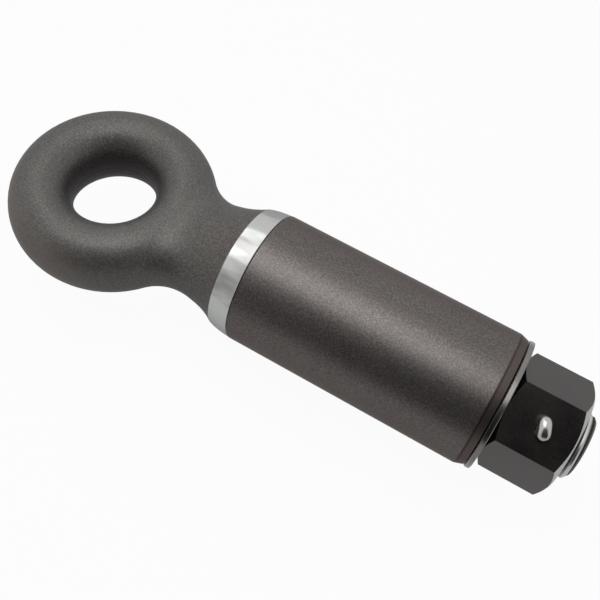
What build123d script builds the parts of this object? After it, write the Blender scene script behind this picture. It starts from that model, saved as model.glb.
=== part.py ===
from build123d import *
import os
from math import cos, pi, radians, sin, tan

# Swivel towing eye: a forged ring and shank that turns in a weld-on sleeve, held by a pinned nut.
# Millimetres. The origin is the middle of the sleeve, on the swivel axis.
# +X runs along that axis towards the nut, and +Z runs along the axis of the eye's hole.

# Sleeve that is welded into the drawbar
sleeve_diameter = 80.0
sleeve_wall = 10.0
sleeve_length = 150.0
sleeve_front_chamfer = 0.5
sleeve_rear_chamfer_length = 5.0
sleeve_rear_chamfer_depth = 1.6
sleeve_mouth_chamfer = 1.0

# Bushes pressed into both ends of the sleeve
bush_length = 40.0
bush_wall = 5.0
bush_set_back = 1.5
bush_edge_chamfer = 1.0
press_clearance = 0.02

# Ring of the eye
hole_diameter = 50.0
hole_bore_depth = 0.1
ring_width = 37.5
ring_height = 45.0

# Collar that bears on the front of the sleeve
collar_length = 13.0
collar_rim_step = 0.2
collar_taper = 2.1
collar_crown = 0.5

# Neck between the ring and the collar
neck_reach = 29.2
neck_waist_depth = 6.7
neck_root_depth = 4.5
neck_flare_power = 5.0
neck_height_power = 1.2
neck_sections = 7
neck_fillet_radius = 32.0
neck_fillet_end_gap = 20.0

# Running clearances of the journal
running_clearance = 0.05
front_gap = 0.3
rear_gap = 0.8

# Thread of the shank and nut, made here as plain walls at its mean diameter
thread_diameter = 39.0
thread_depth = 1.3
thread_clearance = 0.05
thread_end_length = 7.0
thread_end_chamfer = 1.5

# Washer
washer_rim_step = 1.0
washer_thickness = 3.0
washer_hole_clearance = 0.5
washer_edge_chamfer = 0.4

# Nut
nut_sides = 6
nut_across_flats = 60.0
nut_thickness = 40.0
nut_face_inset = 1.5
nut_chamfer_angle = 30.0
nut_flat_angle = 30.0

# Split pin
pin_diameter = 7.4
pin_hole_clearance = 0.3
pin_set_back = 1.5
pin_loop_half_width = 2.8
pin_loop_half_height = 0.95
pin_loop_swell = 0.15
pin_head_gap = 0.2
pin_bend_inside_radius = 1.5
pin_bend_angle = 75.0
pin_twist = 20.0
pin_long_leg = 7.0
pin_short_leg = 2.0
pin_tip_length = 1.8
pin_tip_depth = 1.6

# Radii, worked inwards from the sleeve
sleeve_radius = sleeve_diameter / 2
sleeve_bore_radius = sleeve_radius - sleeve_wall
bush_outer_radius = sleeve_bore_radius - press_clearance
bush_bore_radius = bush_outer_radius - bush_wall
journal_radius = bush_bore_radius - running_clearance
collar_rim_radius = sleeve_radius - collar_rim_step
collar_root_radius = collar_rim_radius - collar_taper
neck_radius = collar_root_radius - neck_waist_depth
washer_radius = sleeve_radius - washer_rim_step

# Radii of the thread, the nut and the pin
mean_thread_radius = thread_diameter / 2 - thread_depth
nut_bore_radius = mean_thread_radius + thread_clearance
washer_hole_radius = thread_diameter / 2 + washer_hole_clearance
nut_flat_radius = nut_across_flats / 2
nut_corner_radius = nut_flat_radius / cos(pi / nut_sides)
nut_face_radius = nut_flat_radius - nut_face_inset
nut_cone_length = (nut_corner_radius - nut_face_radius) * tan(radians(nut_chamfer_angle))
pin_radius = pin_diameter / 2
pin_hole_radius = pin_radius + pin_hole_clearance
pin_loop_wire = pin_radius + pin_loop_swell
pin_bend_radius = pin_radius + pin_bend_inside_radius

# Sizes of the ring
hole_radius = hole_diameter / 2
ring_outer_radius = hole_radius + ring_width
ring_half_width = (ring_width + hole_bore_depth) / 2
ring_half_height = ring_height / 2
ring_mean_radius = ring_outer_radius - ring_half_width
neck_root_height = ring_half_height - neck_root_depth

# Places along the swivel axis
sleeve_front = -sleeve_length / 2
sleeve_rear = sleeve_length / 2
thrust_face = sleeve_front - front_gap
collar_front = thrust_face - collar_length
ring_x = collar_front - neck_reach - ring_outer_radius
neck_start = ring_x + ring_mean_radius
shoulder = sleeve_rear + rear_gap
nut_front = shoulder + washer_thickness
nut_rear = nut_front + nut_thickness
nut_middle = (nut_front + nut_rear) / 2
shank_end = nut_rear + thread_end_length

# The fillet from ring to neck stops short of the collar, so the length of the neck limits it
fillet_end = collar_front - neck_fillet_end_gap - ring_x
neck_room = (fillet_end**2 / (ring_outer_radius - neck_radius) - ring_outer_radius - neck_radius) / 2
neck_fillet = min(neck_fillet_radius, neck_room)

# The head of the pin sits on the flat that is turned nut_flat_angle from +Z
pin_axis = Vector(0, -sin(radians(nut_flat_angle)), cos(radians(nut_flat_angle)))
pin_tangent = Vector(0, cos(radians(nut_flat_angle)), sin(radians(nut_flat_angle)))
pin_centre = Vector(nut_middle + pin_set_back, 0, 0)
pin_hole_plane = Plane(pin_centre, z_dir=pin_axis)

# Forged eye: ring, neck, collar and shank in one piece
with BuildPart() as eye_forging:
    # Ring, an upright oval turned about the axis of the hole
    with BuildSketch(Plane((ring_x, 0, 0), x_dir=(1, 0, 0), z_dir=(0, -1, 0))):
        with Locations((-ring_mean_radius, 0)):
            Ellipse(ring_half_width, ring_half_height)
    revolve(axis=Axis((ring_x, 0, 0), (0, 0, 1)))
    # Neck, which grows from an oval inside the ring to the round of the collar
    for section in range(neck_sections):
        share = section / (neck_sections - 1)
        half_width = neck_radius + neck_waist_depth * share**neck_flare_power
        half_height = neck_root_height + (collar_root_radius - neck_root_height) * share**neck_height_power
        with BuildSketch(Plane.YZ.offset(neck_start + (collar_front - neck_start) * share)):
            Ellipse(half_width, half_height)
    loft()
    fillet(eye_forging.edges(Select.NEW), radius=neck_fillet)
    # Collar, journal and threaded end, turned about the swivel axis
    with BuildSketch(Plane.XZ):
        with BuildLine():
            start = Line((collar_front, 0), (collar_front, collar_root_radius))
            crown = SagittaArc(start @ 1, (thrust_face, collar_rim_radius), collar_crown)
            Polyline(
                crown @ 1,
                (thrust_face, journal_radius),
                (shoulder, journal_radius),
                (shoulder, mean_thread_radius),
                (shank_end - thread_end_chamfer, mean_thread_radius),
                (shank_end, mean_thread_radius - thread_end_chamfer),
                (shank_end, 0),
                start @ 0,
            )
        make_face()
    revolve(axis=Axis.X)
    # Hole of the eye, bored a little into the forged ring
    with BuildSketch(Plane.XY):
        with Locations((ring_x, 0)):
            Circle(hole_radius)
    extrude(amount=ring_half_height, both=True, mode=Mode.SUBTRACT)
    # Cross hole for the split pin
    with BuildSketch(pin_hole_plane):
        Circle(pin_hole_radius)
    extrude(amount=thread_diameter, both=True, mode=Mode.SUBTRACT)

# Sleeve, bored through, with a long chamfer at the rear
with BuildPart() as sleeve:
    with BuildSketch(Plane.XZ):
        with BuildLine():
            Polyline(
                (sleeve_front, sleeve_bore_radius + sleeve_mouth_chamfer),
                (sleeve_front, sleeve_radius - sleeve_front_chamfer),
                (sleeve_front + sleeve_front_chamfer, sleeve_radius),
                (sleeve_rear - sleeve_rear_chamfer_length, sleeve_radius),
                (sleeve_rear, sleeve_radius - sleeve_rear_chamfer_depth),
                (sleeve_rear, sleeve_bore_radius + sleeve_mouth_chamfer),
                (sleeve_rear - sleeve_mouth_chamfer, sleeve_bore_radius),
                (sleeve_front + sleeve_mouth_chamfer, sleeve_bore_radius),
                close=True,
            )
        make_face()
    revolve(axis=Axis.X)

# Plain bushes, one in each end of the sleeve
bush_starts = {
    "front_bush": sleeve_front + bush_set_back,
    "rear_bush": sleeve_rear - bush_set_back - bush_length,
}
bushes = {}
for name, bush_start in bush_starts.items():
    with BuildPart() as bush:
        with BuildSketch(Plane.YZ.offset(bush_start)):
            Circle(bush_outer_radius)
            Circle(bush_bore_radius, mode=Mode.SUBTRACT)
        extrude(amount=bush_length)
        rims = bush.edges().filter_by(GeomType.CIRCLE).group_by(SortBy.RADIUS)[-1]
        chamfer(rims, length=bush_edge_chamfer)
    bushes[name] = bush

# Washer, clamped by the nut against the shoulder of the journal
with BuildPart() as washer:
    with BuildSketch(Plane.YZ.offset(shoulder)):
        Circle(washer_radius)
        Circle(washer_hole_radius, mode=Mode.SUBTRACT)
    extrude(amount=washer_thickness)
    rims = washer.edges().filter_by(GeomType.CIRCLE).group_by(SortBy.RADIUS)[-1]
    chamfer(rims, length=washer_edge_chamfer)

# Hexagon nut, turned to a cone at both ends and cross-drilled
with BuildPart() as nut:
    with BuildSketch(Plane.YZ.offset(nut_front)):
        RegularPolygon(nut_flat_radius, nut_sides, major_radius=False, rotation=nut_flat_angle)
    extrude(amount=nut_thickness)
    with BuildSketch(Plane.XZ):
        with BuildLine():
            Polyline(
                (nut_front, 0),
                (nut_front, nut_face_radius),
                (nut_front + nut_cone_length, nut_corner_radius),
                (nut_rear - nut_cone_length, nut_corner_radius),
                (nut_rear, nut_face_radius),
                (nut_rear, 0),
                close=True,
            )
        make_face()
    revolve(axis=Axis.X, mode=Mode.INTERSECT)
    with BuildSketch(Plane.YZ.offset(nut_front)):
        Circle(nut_bore_radius)
    extrude(amount=nut_thickness, mode=Mode.SUBTRACT)
    mouths = nut.edges().filter_by(GeomType.CIRCLE).group_by(SortBy.RADIUS)[0]
    chamfer(mouths, length=thread_depth)
    with BuildSketch(pin_hole_plane):
        Circle(pin_hole_radius)
    extrude(amount=nut_across_flats, both=True, mode=Mode.SUBTRACT)

# Split pin: a half-round wire folded into a loop, with its two legs bent apart past the nut
leg_direction = pin_tangent * cos(radians(pin_twist)) - Vector(1, 0, 0) * sin(radians(pin_twist))
side_normal = leg_direction.cross(pin_axis)
loop_offset = nut_flat_radius + pin_head_gap + pin_loop_half_height + pin_loop_wire
stem_offset = loop_offset - pin_loop_half_height - pin_radius / 4
stem_start = pin_centre + pin_axis * stem_offset
loop_centre = pin_centre + pin_axis * loop_offset
with BuildPart() as split_pin:
    # Oval loop of the head, on the near flat
    with BuildLine(Plane(loop_centre, x_dir=leg_direction, z_dir=side_normal)) as loop_path:
        EllipticalCenterArc((0, 0), pin_loop_half_width, pin_loop_half_height, arc_size=360)
    with BuildSketch(Plane(loop_centre, x_dir=leg_direction, z_dir=pin_axis)):
        with BuildLine():
            flat = Line((pin_loop_half_width, -pin_loop_wire), (pin_loop_half_width, pin_loop_wire))
            ThreePointArc(flat @ 1, (pin_loop_half_width + pin_loop_wire, 0), flat @ 0)
        make_face()
    sweep(path=loop_path.wires()[0])
    # Legs, each a half-round section swept through the nut and bent past its far flat
    for side, straight in ((1, pin_long_leg), (-1, pin_short_leg)):
        outward = leg_direction * side
        with BuildLine(Plane(pin_centre, x_dir=outward, z_dir=outward.cross(pin_axis))) as leg_path:
            stem = Line((0, stem_offset), (0, -nut_flat_radius))
            bend = JernArc(stem @ 1, stem % 1, pin_bend_radius, pin_bend_angle)
            Line(bend @ 1, bend @ 1 + (bend % 1) * straight)
        with BuildSketch(Plane(stem_start, x_dir=outward, z_dir=pin_axis)):
            with BuildLine():
                flat = Line((0, -pin_radius), (0, pin_radius))
                ThreePointArc(flat @ 1, (pin_radius, 0), flat @ 0)
            make_face()
        sweep(path=leg_path.wires()[0])
        # Bevelled tip
        tip = split_pin.faces().filter_by(GeomType.PLANE).sort_by(Axis(pin_centre, outward))[-1]
        chamfer(tip.edges().filter_by(GeomType.CIRCLE), length=pin_tip_depth, length2=pin_tip_length)

os.makedirs("parts", exist_ok=True)
pieces = {
    "eye_forging": eye_forging,
    "sleeve": sleeve,
    "front_bush": bushes["front_bush"],
    "rear_bush": bushes["rear_bush"],
    "washer": washer,
    "nut": nut,
    "split_pin": split_pin,
}
for name, piece in pieces.items():
    piece.part.label = name
    export_step(piece.part, f"parts/{name}.step")
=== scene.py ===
from math import cos, pi, sin

import bmesh
import bpy
from mathutils import Matrix, Vector


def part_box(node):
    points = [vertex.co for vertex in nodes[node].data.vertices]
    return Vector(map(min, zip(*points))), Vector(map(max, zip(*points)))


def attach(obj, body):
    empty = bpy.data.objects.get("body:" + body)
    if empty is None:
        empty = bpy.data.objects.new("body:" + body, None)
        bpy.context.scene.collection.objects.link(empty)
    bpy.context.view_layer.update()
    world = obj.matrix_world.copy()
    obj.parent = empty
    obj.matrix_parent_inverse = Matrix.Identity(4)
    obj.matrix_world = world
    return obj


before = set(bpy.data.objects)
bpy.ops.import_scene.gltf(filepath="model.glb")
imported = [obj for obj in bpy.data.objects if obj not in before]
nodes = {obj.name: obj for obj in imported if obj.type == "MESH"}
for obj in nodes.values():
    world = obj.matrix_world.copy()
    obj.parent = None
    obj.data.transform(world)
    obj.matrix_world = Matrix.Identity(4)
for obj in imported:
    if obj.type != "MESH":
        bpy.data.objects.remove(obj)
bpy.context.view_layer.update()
scene = bpy.context.scene

# Places on the object, in metres, with the swivel along X and the hole of the eye along Z
EYE_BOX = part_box("eye_forging")
SLEEVE_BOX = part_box("sleeve")
NUT_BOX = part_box("nut")
ACROSS_SWIVEL = (0.0, 1.0, 1.0)
ACROSS_HOLE = (1.0, 1.0, 0.0)

# Ring and neck, with painted shade in the hole, a lighter brown on the outer wall that is partly
# painted reflection, and brown near the collar, which end at these distances from the hole's middle
# and the collar
HOLE_RADIUS = 0.025
RING_WIDTH = 0.0375
HOLE_CENTRE = Vector((EYE_BOX[0].x + RING_WIDTH + HOLE_RADIUS, 0.0, 0.0))
HOLE_SHADE_END = 0.0305
OUTER_WALL_START = 0.051
OUTER_WALL_FULL = 0.060
OUTER_WALL_REACH = 0.040
NECK_BROWN_LENGTH = 0.040

# Collar, which is shaded as a plain cone that narrows towards the eye
COLLAR_LENGTH = 0.013
COLLAR_GAP = 0.0003
COLLAR_EDGE = 0.0002
COLLAR_SLOPE = 0.10
COLLAR_REAR = SLEEVE_BOX[0].x - COLLAR_GAP
COLLAR_FRONT = COLLAR_REAR - COLLAR_LENGTH

# Chamfer at the rear of the sleeve, with a dark line where it starts
CHAMFER_LENGTH = 0.005
CHAMFER_EDGE = 0.0004
CHAMFER_START = SLEEVE_BOX[1].x - CHAMFER_LENGTH
RIM_WIDTH = 0.0008

# Thread on the end of the shank
THREAD_RADIUS = 0.0195
THREAD_ROOT_RADIUS = 0.0180
THREAD_END_RADIUS = 0.0168
THREAD_PITCH = 0.004
THREAD_CREST_SHARE = 0.12
THREAD_FOOT_SHARE = 0.46
THREAD_RISE_TURNS = 0.125
THREAD_STEPS_PER_TURN = 96
SHANK_END_FADE = 0.001

# Camera, solved from the outline of the object in the 600 by 600 photo
CAMERA_POSITION = Vector((0.047582, -0.240572, 0.418773))
CAMERA_UP = Vector((-0.46299, 0.71958, 0.51753))
CAMERA_BACK = Vector((0.19569, -0.48649, 0.85149))
CAMERA_LENS = 51.006
CAMERA_SENSOR = 36.0

# Studio: white all round, dim in front below the camera, with two softboxes that face down
DIM_SIDE = Vector((0.36, -0.87, 0.34)).normalized()
DIM_START = 0.62
DIM_FULL = 0.74
SOFTBOX_PLACE = (-0.20, -0.09, 0.80)
SOFTBOX_SIZE = (0.64, 0.52)
SOFTBOX_WATTS = 2.45
SIDE_BOX_PLACE = (-0.62, 0.42, 0.80)
SIDE_BOX_SIZE = (0.32, 0.44)
SIDE_BOX_WATTS = 0.64

# Floor, which clears the ring at every turn of the swivel
FLOOR_GAP = 0.001
FLOOR_HEIGHT = EYE_BOX[0].y - FLOOR_GAP
FLOOR_SIZE = 6.0
FLOOR_FRONT = -0.55


def rgb(red, green, blue):
    return (red, green, blue, 1.0)


WHITE = rgb(1.0, 1.0, 1.0)

# Ranges of a noise that hold most of its values, and nearly all of them
MOST = (0.3, 0.7)
NEARLY_ALL = (0.2, 0.8)


class Shader:
    """A material's node tree, with short ways to add nodes and join them.

    A noise is given by its spots in a metre, and a bump by its depth in metres and its strength.
    """

    def __init__(self, name):
        self.material = bpy.data.materials.new(name)
        self.material.use_nodes = True
        self.tree = self.material.node_tree
        self.surface = self.tree.nodes["Principled BSDF"]
        self.place = self.tree.nodes.new("ShaderNodeTexCoord").outputs["Object"]

    def add(self, kind, inputs=(), **settings):
        """Adds a node, sets its options, and joins or sets its inputs by name or number."""
        node = self.tree.nodes.new(kind)
        for key, value in settings.items():
            setattr(node, key, value)
        for key, value in dict(inputs).items():
            self.put(node.inputs[key], value)
        return node

    def put(self, socket, value):
        if isinstance(value, bpy.types.NodeSocket):
            self.tree.links.new(value, socket)
        else:
            socket.default_value = value

    def noise(self, spots, detail=4.0, roughness=0.6, place=None):
        node = self.add(
            "ShaderNodeTexNoise",
            {
                "Vector": self.place if place is None else place,
                "Scale": spots,
                "Detail": detail,
                "Roughness": roughness,
            },
        )
        return node.outputs["Fac"]

    def grain(self, spots):
        """Fine, sharp noise."""
        return self.noise(spots, detail=3.0, roughness=0.7)

    def stretched_noise(self, spots, detail):
        """Noise with its own number of spots along each axis."""
        return self.noise(1.0, detail, place=self.vector("MULTIPLY", self.place, spots))

    def remap(self, value, low, high, to_low=0.0, to_high=1.0, smooth=False):
        node = self.add(
            "ShaderNodeMapRange",
            {"Value": value, "From Min": low, "From Max": high, "To Min": to_low, "To Max": to_high},
            interpolation_type="SMOOTHSTEP" if smooth else "LINEAR",
        )
        return node.outputs["Result"]

    def math(self, operation, first, second):
        return self.add("ShaderNodeMath", {0: first, 1: second}, operation=operation).outputs[0]

    def vector(self, operation, first, second=(0.0, 0.0, 0.0), output="Vector"):
        node = self.add("ShaderNodeVectorMath", {0: first, 1: second}, operation=operation)
        return node.outputs[output]

    def blend(self, share, first, second):
        """Goes from first to second with share: two colours, two directions or two numbers."""
        kind = "RGBA" if isinstance(first, tuple) else first.type
        node = self.add("ShaderNodeMix", data_type="FLOAT" if kind == "VALUE" else kind)
        sockets = {socket.name: socket for socket in node.inputs if socket.enabled}
        self.put(sockets["Factor"], share)
        self.put(sockets["A"], first)
        self.put(sockets["B"], second)
        return next(socket for socket in node.outputs if socket.enabled)

    def along_swivel(self, vector):
        """How far a vector goes along the swivel axis."""
        return self.add("ShaderNodeSeparateXYZ", {"Vector": vector}).outputs["X"]

    def cone_facing(self, off_axis, slope):
        """Which way a plain cone about the swivel axis faces, where it narrows towards the eye."""
        outward = self.vector("NORMALIZE", off_axis)
        node = self.add(
            "ShaderNodeVectorTransform",
            {"Vector": self.vector("ADD", outward, (-slope, 0.0, 0.0))},
            vector_type="NORMAL",
            convert_from="OBJECT",
            convert_to="WORLD",
        )
        return node.outputs["Vector"]

    def bump(self, height, depth, strength, facing=None):
        node = self.add(
            "ShaderNodeBump", {"Height": height, "Distance": depth, "Strength": strength}
        )
        if facing is not None:
            self.put(node.inputs["Normal"], facing)
        return node.outputs["Normal"]

    def looked_at(self):
        """Whether the camera looks straight at it, and whether metal or glass mirrors it."""
        path = self.add("ShaderNodeLightPath").outputs
        mirrored = self.math("MAXIMUM", path["Is Glossy Ray"], path["Is Transmission Ray"])
        return path["Is Camera Ray"], mirrored

    def finish(self, colour, roughness, normal, metallic=0.0, specular=0.5, edge_tint=WHITE):
        self.put(self.surface.inputs["Base Color"], colour)
        self.put(self.surface.inputs["Roughness"], roughness)
        self.put(self.surface.inputs["Normal"], normal)
        self.put(self.surface.inputs["Metallic"], metallic)
        self.put(self.surface.inputs["Specular IOR Level"], specular)
        self.put(self.surface.inputs["Specular Tint"], edge_tint)
        return self.material


class WorldShader(Shader):
    """The same short ways, on the world's node tree."""

    def __init__(self, name):
        self.world = bpy.data.worlds.new(name)
        self.world.use_nodes = True
        self.tree = self.world.node_tree
        self.surface = self.tree.nodes["Background"]
        self.place = self.tree.nodes.new("ShaderNodeTexCoord").outputs["Generated"]


# Forging: colours
SKIN_DARK = rgb(0.079, 0.075, 0.071)
SKIN_PALE = rgb(0.107, 0.103, 0.097)
SKIN_SPECK = rgb(0.175, 0.166, 0.157)
# Brown, and lighter than the skin as painted reflection
OUTER_WALL_BROWN_AND_REFLECTION = rgb(0.152, 0.124, 0.112)
# Painted shade for the wall of the hole
HOLE_PAINTED_SHADE = rgb(0.036, 0.029, 0.030)
NECK_BROWN = rgb(0.080, 0.067, 0.061)
COLLAR_DARK = rgb(0.47, 0.48, 0.47)
COLLAR_PALE = rgb(0.51, 0.52, 0.51)
# Painted reflection: dark bands around the collar
COLLAR_REFLECTION_DARK = rgb(0.30, 0.295, 0.29)
SHANK_END_DARK = rgb(0.20, 0.195, 0.19)
SHANK_END_PALE = rgb(0.32, 0.315, 0.31)
# Painted shade for the grooves of the thread
GROOVE_SHADE_DARK = rgb(0.012, 0.011, 0.010)
GROOVE_SHADE_PALE = rgb(0.034, 0.031, 0.029)
FORGING_EDGE_TINT = rgb(0.6, 0.6, 0.6)
# Forging: noise, the ranges of it that show, and how much its patches take of the outer wall's brown
# and painted reflection and of the neck's tint
SKIN_CLOUDS = 28.0
BROWN_PATCHES = 45.0
SKIN_GRAIN = 900.0
SKIN_PITS = 240.0
COLLAR_RINGS = (2600.0, 8.0, 8.0)
COLLAR_REFLECTION_BANDS = (25.0, 68.0, 68.0)
SKIN_SPECK_RANGE = (0.42, 0.68)
REFLECTION_BAND_RANGE = (0.48, 0.66)
OUTER_WALL_PATCH_SHARE = (0.45, 1.0)
NECK_TINT = (0.3, 0.9)
HOLE_SPECK_SHARE = 0.25
# Forging: finish
SKIN_ROUGHNESS = (0.42, 0.56)
COLLAR_ROUGHNESS = (0.15, 0.21)
SKIN_METALLIC = 0.55
FORGING_BUMP = (0.00012, 0.5)
RING_HEIGHT_SHARE = 0.03


def forged_skin(s, x, grain):
    """The dark skin of the ring and the neck, with painted shade in the hole and partly painted
    reflection on the outer wall.
    """
    clouds = s.noise(SKIN_CLOUDS)
    skin = s.blend(s.remap(clouds, *MOST), SKIN_DARK, SKIN_PALE)
    # The outer wall of the ring is browner, and lighter as painted reflection, and the wall of the
    # hole is darker with painted shade
    from_hole = s.vector("SUBTRACT", s.place, HOLE_CENTRE)
    across = s.vector("MULTIPLY", from_hole, ACROSS_HOLE)
    hole_distance = s.vector("LENGTH", across, output="Value")
    outer_wall = s.math(
        "MULTIPLY",
        s.remap(hole_distance, OUTER_WALL_START, OUTER_WALL_FULL, smooth=True),
        s.remap(x, HOLE_CENTRE.x + OUTER_WALL_REACH, HOLE_CENTRE.x, smooth=True),
    )
    patches = s.remap(s.noise(BROWN_PATCHES), *MOST, *OUTER_WALL_PATCH_SHARE)
    skin = s.blend(s.math("MULTIPLY", outer_wall, patches), skin, OUTER_WALL_BROWN_AND_REFLECTION)
    hole_shade = s.remap(hole_distance, HOLE_SHADE_END, HOLE_RADIUS, smooth=True)
    skin = s.blend(hole_shade, skin, HOLE_PAINTED_SHADE)
    # The neck is browner close to the collar
    near_collar = s.remap(x, COLLAR_FRONT - NECK_BROWN_LENGTH, COLLAR_FRONT, smooth=True)
    patches = s.remap(clouds, *NEARLY_ALL, *NECK_TINT)
    skin = s.blend(s.math("MULTIPLY", near_collar, patches), skin, NECK_BROWN)
    # Pale specks lie over it all, and are faint in the hole
    strength = s.remap(hole_shade, 0.0, 1.0, 1.0, HOLE_SPECK_SHARE)
    specks = s.math("MULTIPLY", s.remap(grain, *SKIN_SPECK_RANGE), strength)
    return s.blend(specks, skin, SKIN_SPECK)


def turned_collar(s, rings):
    """Bare metal with the fine rings of its turning, and painted reflections as dark bands across
    them.
    """
    bright = s.blend(s.remap(rings, *MOST), COLLAR_DARK, COLLAR_PALE)
    # Painted reflections, as dark bands around the collar
    reflection_bands = s.stretched_noise(COLLAR_REFLECTION_BANDS, detail=2.0)
    return s.blend(s.remap(reflection_bands, *REFLECTION_BAND_RANGE), bright, COLLAR_REFLECTION_DARK)


def shank_end(s, off_axis, grain):
    """The grey end of the shank, with painted shade in the grooves of its thread."""
    end_face = s.blend(grain, SHANK_END_DARK, SHANK_END_PALE)
    axis_distance = s.vector("LENGTH", off_axis, output="Value")
    # Painted shade, nearly black, on the root of the thread between the ridges
    groove_shade = s.remap(axis_distance, THREAD_END_RADIUS, THREAD_ROOT_RADIUS)
    return s.blend(groove_shade, end_face, s.blend(grain, GROOVE_SHADE_DARK, GROOVE_SHADE_PALE))


def forged_steel():
    """Dark forged skin, with the collar turned bright."""
    s = Shader("forged_steel")
    x = s.along_swivel(s.place)
    off_axis = s.vector("MULTIPLY", s.place, ACROSS_SWIVEL)
    grain = s.grain(SKIN_GRAIN)
    pits = s.noise(SKIN_PITS, detail=2.0)
    rings = s.stretched_noise(COLLAR_RINGS, detail=2.0)
    collar = s.math(
        "MULTIPLY",
        s.remap(x, COLLAR_FRONT - COLLAR_EDGE, COLLAR_FRONT + COLLAR_EDGE),
        s.remap(x, COLLAR_REAR + COLLAR_EDGE, COLLAR_REAR - COLLAR_EDGE),
    )
    at_end = s.remap(x, NUT_BOX[1].x - SHANK_END_FADE, NUT_BOX[1].x)
    skin = s.blend(at_end, forged_skin(s, x, grain), shank_end(s, off_axis, grain))
    colour = s.blend(collar, skin, turned_collar(s, rings))
    skin_roughness = s.remap(grain, *NEARLY_ALL, *SKIN_ROUGHNESS)
    collar_roughness = s.remap(rings, *NEARLY_ALL, *COLLAR_ROUGHNESS)
    roughness = s.blend(collar, skin_roughness, collar_roughness)
    ring_heights = s.math("MULTIPLY", rings, RING_HEIGHT_SHARE)
    heights = s.blend(collar, s.math("ADD", grain, pits), ring_heights)
    true_facing = s.add("ShaderNodeNewGeometry").outputs["Normal"]
    facing = s.blend(collar, true_facing, s.cone_facing(off_axis, COLLAR_SLOPE))
    normal = s.bump(heights, *FORGING_BUMP, facing)
    metallic = s.remap(collar, 0.0, 1.0, SKIN_METALLIC, 1.0)
    return s.finish(colour, roughness, normal, metallic=metallic, edge_tint=FORGING_EDGE_TINT)


# Sleeve: colours, with two tints that lie in clouds on the chamfer, behind a purple line
SLEEVE_DARK = rgb(0.091, 0.081, 0.077)
SLEEVE_PALE = rgb(0.110, 0.098, 0.094)
SLEEVE_SPECK = rgb(0.195, 0.179, 0.171)
CHAMFER_RUST = rgb(0.094, 0.074, 0.070)
CHAMFER_OLIVE = rgb(0.090, 0.078, 0.066)
RIM_PURPLE = rgb(0.050, 0.026, 0.030)
SLEEVE_EDGE_TINT = rgb(0.6, 0.56, 0.55)
# Sleeve: noise, the ranges of it that show, and how much of the tint the clouds take
SLEEVE_CLOUDS = 22.0
SLEEVE_GRAIN = 1100.0
SLEEVE_TURNING = (1500.0, 9.0, 9.0)
SLEEVE_SPECK_RANGE = (0.44, 0.70)
CHAMFER_CLOUD_RANGE = (0.35, 0.65)
CHAMFER_TINT = (0.7, 1.0)
# Sleeve: finish
SLEEVE_ROUGHNESS = (0.34, 0.46)
SLEEVE_METALLIC = 0.85
SLEEVE_BUMP = (0.00008, 0.45)


def sleeve_steel():
    """Satin dark oxide on a turned tube, tinted brown on the chamfer at the rear."""
    s = Shader("sleeve_steel")
    x = s.along_swivel(s.place)
    clouds = s.noise(SLEEVE_CLOUDS)
    grain = s.grain(SLEEVE_GRAIN)
    turning = s.stretched_noise(SLEEVE_TURNING, detail=3.0)
    skin = s.blend(s.remap(clouds, *MOST), SLEEVE_DARK, SLEEVE_PALE)
    skin = s.blend(s.remap(grain, *SLEEVE_SPECK_RANGE), skin, SLEEVE_SPECK)
    chamfer = s.remap(x, CHAMFER_START - CHAMFER_EDGE, CHAMFER_START + CHAMFER_EDGE)
    past_rim = s.remap(x, CHAMFER_START + RIM_WIDTH, CHAMFER_START + 2 * RIM_WIDTH)
    tint = s.blend(s.remap(clouds, *CHAMFER_CLOUD_RANGE), CHAMFER_RUST, CHAMFER_OLIVE)
    tint = s.blend(past_rim, RIM_PURPLE, tint)
    tinted = s.math("MULTIPLY", chamfer, s.remap(clouds, *NEARLY_ALL, *CHAMFER_TINT))
    colour = s.blend(tinted, skin, tint)
    roughness = s.remap(grain, *NEARLY_ALL, *SLEEVE_ROUGHNESS)
    normal = s.bump(s.math("ADD", grain, turning), *SLEEVE_BUMP)
    return s.finish(
        colour, roughness, normal, metallic=SLEEVE_METALLIC, edge_tint=SLEEVE_EDGE_TINT
    )


# Nut: colours
NUT_DARK = rgb(0.003, 0.003, 0.004)
NUT_PALE = rgb(0.013, 0.011, 0.010)
NUT_SPECK = rgb(0.034, 0.031, 0.031)
NUT_END_DARK = rgb(0.39, 0.43, 0.43)
NUT_END_PALE = rgb(0.53, 0.58, 0.58)
NUT_EDGE_TINT = rgb(1.0, 0.89, 0.85)
# Nut: noise, the range of it that shows, and how far a face turns to the rear to be bare
NUT_CLOUDS = 60.0
NUT_GRAIN = 1400.0
NUT_SPECK_RANGE = (0.5, 0.85)
NUT_END_FACING = (0.35, 0.5)
# Nut: finish
NUT_ROUGHNESS = (0.16, 0.24)
NUT_END_ROUGHNESS = (0.30, 0.42)
NUT_SPECULAR = 0.58
NUT_BUMP = (0.00006, 0.35)


def nut_steel():
    """Black oxide on the flats, with the turned rear end left bright."""
    s = Shader("nut_steel")
    clouds = s.noise(NUT_CLOUDS)
    grain = s.grain(NUT_GRAIN)
    facing = s.add("ShaderNodeTexCoord").outputs["Normal"]
    turned = s.remap(s.along_swivel(facing), *NUT_END_FACING)
    black = s.blend(s.remap(clouds, *MOST), NUT_DARK, NUT_PALE)
    black = s.blend(s.remap(grain, *NUT_SPECK_RANGE), black, NUT_SPECK)
    bare = s.blend(s.remap(grain, *MOST), NUT_END_DARK, NUT_END_PALE)
    colour = s.blend(turned, black, bare)
    flat_roughness = s.remap(clouds, *NEARLY_ALL, *NUT_ROUGHNESS)
    end_roughness = s.remap(grain, *NEARLY_ALL, *NUT_END_ROUGHNESS)
    roughness = s.blend(turned, flat_roughness, end_roughness)
    normal = s.bump(grain, *NUT_BUMP)
    return s.finish(
        colour, roughness, normal, metallic=turned, specular=NUT_SPECULAR, edge_tint=NUT_EDGE_TINT
    )


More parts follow.
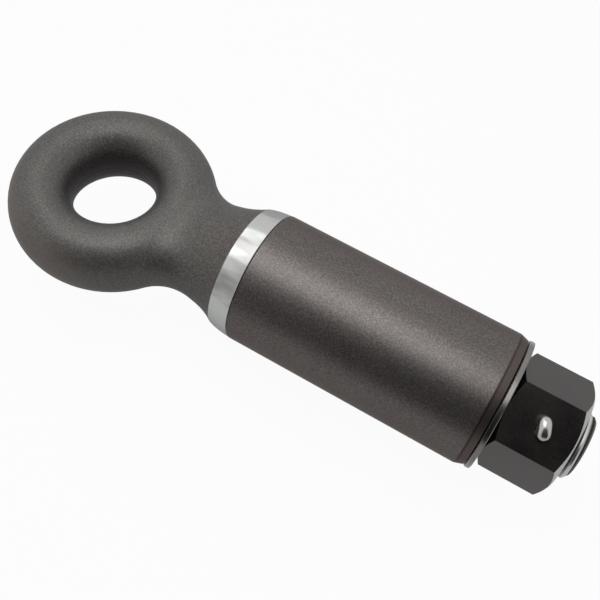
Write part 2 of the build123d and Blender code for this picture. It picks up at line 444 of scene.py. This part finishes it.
# Bare metals: the dark and the pale colour, then the roughness of the smoothest and roughest spot
BRASS = (rgb(0.42, 0.27, 0.12), rgb(0.60, 0.42, 0.21), 0.28, 0.42)
WASHER_STEEL = (rgb(0.16, 0.15, 0.145), rgb(0.27, 0.26, 0.25), 0.20, 0.30)
PIN_STEEL = (rgb(0.40, 0.40, 0.39), rgb(0.52, 0.52, 0.51), 0.20, 0.30)
THREAD_STEEL = (rgb(0.50, 0.50, 0.49), rgb(0.64, 0.64, 0.63), 0.26, 0.38)
# Bare metals: noise and finish
METAL_CLOUDS = 90.0
METAL_SCRATCHES = (1800.0, 60.0, 60.0)
METAL_BUMP = (0.00002, 0.4)


def bare_metal(name, dark, pale, smoothest, roughest):
    """Plain metal with fine scratches and slight clouding."""
    s = Shader(name)
    clouds = s.noise(METAL_CLOUDS)
    scratches = s.stretched_noise(METAL_SCRATCHES, detail=3.0)
    share = s.math("MULTIPLY", s.remap(clouds, *NEARLY_ALL), s.remap(scratches, *NEARLY_ALL))
    colour = s.blend(share, dark, pale)
    roughness = s.remap(scratches, *NEARLY_ALL, smoothest, roughest)
    normal = s.bump(scratches, *METAL_BUMP)
    return s.finish(colour, roughness, normal, metallic=1.0)


def thread_ridge(name):
    """The thread past the nut, as one ridge that rises at the nut and follows the end's chamfer."""
    half_foot = THREAD_PITCH * THREAD_FOOT_SHARE
    half_crest = THREAD_PITCH * THREAD_CREST_SHARE
    start = NUT_BOX[1].x + half_foot
    end = EYE_BOX[1].x - half_foot
    steps = int(THREAD_STEPS_PER_TURN * (end - start) / THREAD_PITCH)
    mesh = bmesh.new()
    sections = []
    for step in range(steps + 1):
        x = start + (end - start) * step / steps
        turns = step / THREAD_STEPS_PER_TURN
        rise = min(1.0, turns / THREAD_RISE_TURNS)
        chamfered = THREAD_END_RADIUS + EYE_BOX[1].x - x
        crest = THREAD_ROOT_RADIUS + rise * (min(THREAD_RADIUS, chamfered) - THREAD_ROOT_RADIUS)
        profile = (
            (x - half_foot, THREAD_ROOT_RADIUS),
            (x - half_crest, crest),
            (x + half_crest, crest),
            (x + half_foot, THREAD_ROOT_RADIUS),
        )
        angle = 2 * pi * turns
        section = [mesh.verts.new((a, r * cos(angle), r * sin(angle))) for a, r in profile]
        sections.append(section)
    for before, after in zip(sections, sections[1:]):
        for i, vertex in enumerate(before):
            j = (i + 1) % len(before)
            mesh.faces.new((vertex, before[j], after[j], after[i]))
    mesh.faces.new(sections[0][::-1])
    mesh.faces.new(sections[-1])
    bmesh.ops.recalc_face_normals(mesh, faces=mesh.faces)
    data = bpy.data.meshes.new(name)
    mesh.to_mesh(data)
    mesh.free()
    ridge = bpy.data.objects.new(name, data)
    scene.collection.objects.link(ridge)
    return ridge


# Floor and room: colours, finish, and how much of the floor's light is plain white
FLOOR_DARK = rgb(0.78, 0.78, 0.78)
FLOOR_PALE = rgb(0.82, 0.82, 0.82)
FLOOR_GRAIN = 40.0
FLOOR_ROUGHNESS = 0.9
FLOOR_SPECULAR = 0.1
FLOOR_BUMP = (0.0002, 0.1)
FLOOR_WHITE_TO_CAMERA = 0.95
FLOOR_WHITE_TO_MIRRORS = 0.5
ROOM_GREY = rgb(0.5, 0.5, 0.5)
DIM_GREY = rgb(0.04, 0.04, 0.04)


def stage_floor():
    """A pale floor that the camera sees nearly white and metal half white, with its shadow kept."""
    middle = FLOOR_FRONT + FLOOR_SIZE / 2
    bpy.ops.mesh.primitive_plane_add(size=FLOOR_SIZE, location=(0.0, middle, FLOOR_HEIGHT))
    floor = bpy.context.object
    floor.name = "studio_floor"
    s = Shader("studio_floor")
    grain = s.noise(FLOOR_GRAIN)
    colour = s.blend(grain, FLOOR_DARK, FLOOR_PALE)
    normal = s.bump(grain, *FLOOR_BUMP)
    s.finish(colour, FLOOR_ROUGHNESS, normal, specular=FLOOR_SPECULAR)
    by_camera, by_mirrors = s.looked_at()
    white_share = s.math(
        "MAXIMUM",
        s.math("MULTIPLY", by_mirrors, FLOOR_WHITE_TO_MIRRORS),
        s.math("MULTIPLY", by_camera, FLOOR_WHITE_TO_CAMERA),
    )
    white = s.add("ShaderNodeEmission", {"Color": WHITE, "Strength": 1.0})
    shown = s.add(
        "ShaderNodeMixShader", {0: white_share, 1: s.surface.outputs[0], 2: white.outputs[0]}
    )
    s.put(s.tree.nodes["Material Output"].inputs["Surface"], shown.outputs[0])
    floor.data.materials.append(s.material)


def studio_world():
    """White to the camera, and to metal too apart from the dim side in front."""
    s = WorldShader("studio")
    by_camera, by_mirrors = s.looked_at()
    room = s.blend(by_mirrors, ROOM_GREY, WHITE)
    toward_dim_side = s.vector("DOT_PRODUCT", s.place, DIM_SIDE, output="Value")
    room = s.blend(s.remap(toward_dim_side, DIM_START, DIM_FULL, smooth=True), room, DIM_GREY)
    s.put(s.surface.inputs["Color"], s.blend(by_camera, room, WHITE))
    s.put(s.surface.inputs["Strength"], 1.0)
    scene.world = s.world


def softbox(name, place, size, watts):
    """A soft lamp that faces straight down."""
    light = bpy.data.lights.new(name, "AREA")
    light.shape = "RECTANGLE"
    light.size, light.size_y = size
    light.energy = watts
    lamp = bpy.data.objects.new(name, light)
    lamp.location = place
    scene.collection.objects.link(lamp)


def photo_camera():
    data = bpy.data.cameras.new("photo_camera")
    data.lens = CAMERA_LENS
    data.sensor_width = CAMERA_SENSOR
    camera = bpy.data.objects.new("photo_camera", data)
    scene.collection.objects.link(camera)
    right = CAMERA_UP.cross(CAMERA_BACK)
    turn = Matrix((right, CAMERA_UP, CAMERA_BACK)).transposed().to_4x4()
    camera.matrix_world = Matrix.Translation(CAMERA_POSITION) @ turn
    scene.camera = camera


brass = bare_metal("bush_metal", *BRASS)
finishes = {
    "eye_forging": forged_steel(),
    "sleeve": sleeve_steel(),
    "front_bush": brass,
    "rear_bush": brass,
    "washer": bare_metal("bright_steel", *WASHER_STEEL),
    "nut": nut_steel(),
    "split_pin": bare_metal("pin_steel", *PIN_STEEL),
}
for node, material in finishes.items():
    nodes[node].data.materials.clear()
    nodes[node].data.materials.append(material)

ridge = thread_ridge("shank_thread")
ridge.data.materials.append(bare_metal("thread_steel", *THREAD_STEEL))
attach(ridge, "swivel_eye")

stage_floor()
studio_world()
softbox("overhead", SOFTBOX_PLACE, SOFTBOX_SIZE, SOFTBOX_WATTS)
softbox("overhead_side", SIDE_BOX_PLACE, SIDE_BOX_SIZE, SIDE_BOX_WATTS)
photo_camera()
scene.view_settings.view_transform = "Standard"
